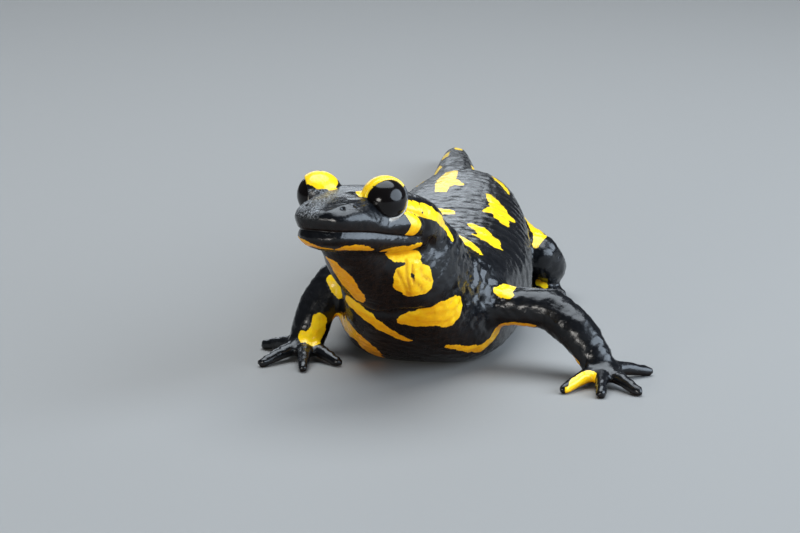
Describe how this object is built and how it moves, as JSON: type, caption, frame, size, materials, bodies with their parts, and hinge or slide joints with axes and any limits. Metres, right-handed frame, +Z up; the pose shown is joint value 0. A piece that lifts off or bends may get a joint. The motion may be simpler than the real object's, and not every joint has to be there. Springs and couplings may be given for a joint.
{
  "type": "fire salamander",
  "caption": "Life-size fire salamander standing with its chest raised on its forelegs and its head turned, tail laid straight behind.",
  "frame": {"origin": "middle of the footprint, on the floor", "axes": "+Y along the body towards the tail, +X towards the animal's left, +Z up"},
  "size_m": [0.054, 0.1754, 0.0303],
  "materials": {
    "skin": "moist, glossy black amphibian skin with crisp lemon to orange yellow markings",
    "eye": "wet, mirror-glossy black eyeball"
  },
  "bodies": {
    "root": {"head": "skin", "lower_jaw": "skin", "eye_left": "eye", "eye_right": "eye", "neck": "skin", "chest": "skin", "trunk": "skin", "hips": "skin", "tail": "skin", "tail_middle": "skin", "tail_tip": "skin", "upper_arm_left": "skin", "forearm_left": "skin", "hand_left": "skin", "upper_arm_right": "skin", "forearm_right": "skin", "hand_right": "skin", "thigh_left": "skin", "shank_left": "skin", "foot_left": "skin", "thigh_right": "skin", "shank_right": "skin", "foot_right": "skin"}
  },
  "joints": []
}
